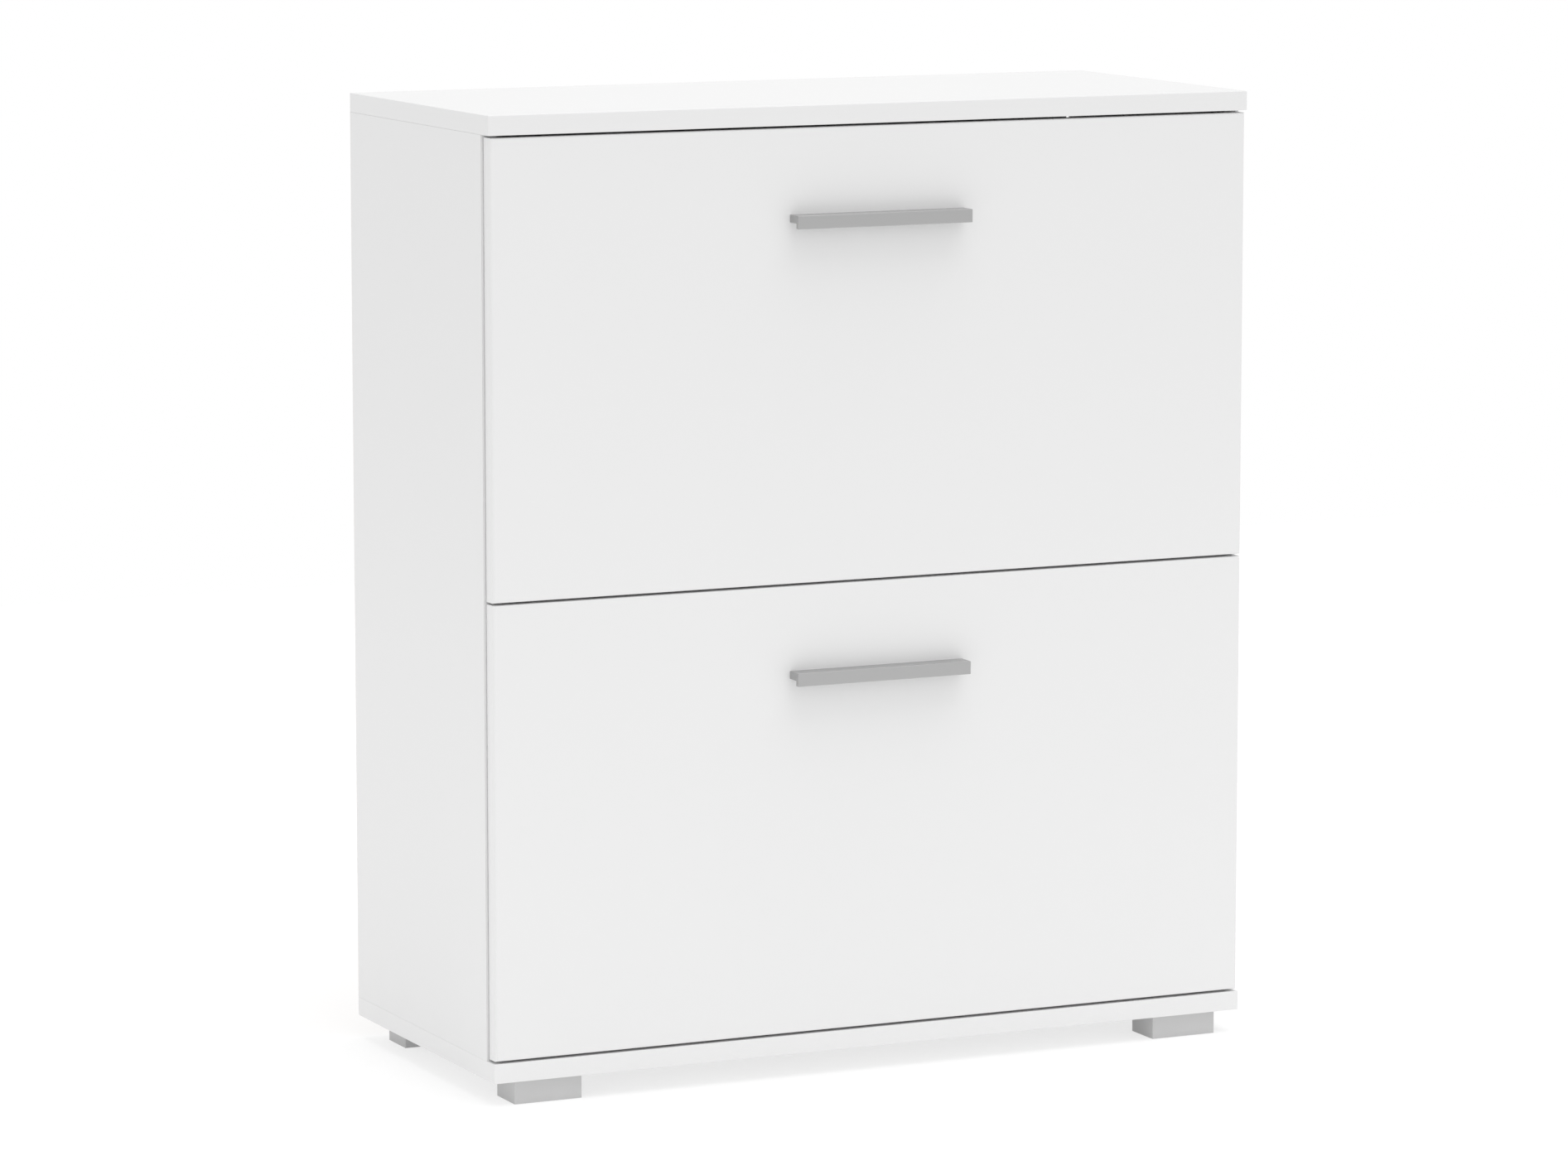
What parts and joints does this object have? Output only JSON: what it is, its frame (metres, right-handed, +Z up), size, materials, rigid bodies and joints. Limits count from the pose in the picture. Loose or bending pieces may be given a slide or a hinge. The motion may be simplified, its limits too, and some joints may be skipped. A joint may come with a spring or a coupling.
{
  "type": "shoe cabinet",
  "caption": "Low white shoe cabinet on block feet, with equal tip-out flaps one above the other, bar handles, and a two-row shoe basket behind each front.",
  "frame": {"origin": "on the floor, under the middle of the whole cabinet's bounding box, handles included", "axes": "+X to the cabinet's right as seen from the front, +Y to its back (the doors face -Y), +Z up"},
  "size_m": [0.77, 0.3516, 0.9],
  "materials": {
    "white_board": "matt melamine on chipboard, ABS edging",
    "white_fibreboard": "lacquered thin fibreboard",
    "handle_aluminium": "satin anodised",
    "silver_plastic": "silver-grey moulded",
    "grey_plastic": "light grey moulded",
    "zinc_steel": "bright zinc plated",
    "zinc_casting": "die cast",
    "beech": "fluted hardwood",
    "buffer_rubber": "translucent soft"
  },
  "bodies": {
    "cabinet": {"top_panel": "white_board", "base_panel": "white_board", "side_panel_left": "white_board", "side_panel_right": "white_board", "middle_shelf": "white_board", "back_panel": "white_fibreboard", "rear_rail": "white_board", "foot_front_left": "silver_plastic", "foot_front_right": "silver_plastic", "foot_rear_left": "silver_plastic", "foot_rear_right": "silver_plastic", "wall_bracket_left": "zinc_steel", "wall_bracket_right": "zinc_steel", "lower_guide_left": "grey_plastic", "lower_guide_right": "grey_plastic", "upper_guide_left": "grey_plastic", "upper_guide_right": "grey_plastic", "cam_locks": "zinc_casting", "cam_bolts": "zinc_steel", "dowels": "beech", "back_nails": "zinc_steel", "foot_screws": "zinc_steel", "bracket_screws": "zinc_steel", "guide_screws": "zinc_steel", "door_buffers": "buffer_rubber"},
    "upper_flap": {"upper_door": "white_board", "upper_handle": "handle_aluminium", "upper_handle_screws": "zinc_steel", "upper_frame_left": "grey_plastic", "upper_frame_right": "grey_plastic", "upper_frame_screws": "zinc_steel", "upper_front_floor": "white_board", "upper_rear_floor": "white_board", "upper_partition": "white_fibreboard", "upper_backrest": "white_fibreboard", "upper_floor_screws": "zinc_steel"},
    "lower_flap": {"lower_door": "white_board", "lower_handle": "handle_aluminium", "lower_handle_screws": "zinc_steel", "lower_frame_left": "grey_plastic", "lower_frame_right": "grey_plastic", "lower_frame_screws": "zinc_steel", "lower_front_floor": "white_board", "lower_rear_floor": "white_board", "lower_partition": "white_fibreboard", "lower_backrest": "white_fibreboard", "lower_floor_screws": "zinc_steel"}
  },
  "joints": [
    {"name": "upper_flap_tip", "type": "hinge", "parent": "cabinet", "child": "upper_flap", "pos_m": [0, -0.15575, 0.4641], "axis": [1, 0, 0], "range_deg": [0, 45]},
    {"name": "lower_flap_tip", "type": "hinge", "parent": "cabinet", "child": "lower_flap", "pos_m": [0, -0.15575, 0.0442], "axis": [1, 0, 0], "range_deg": [0, 45]}
  ]
}
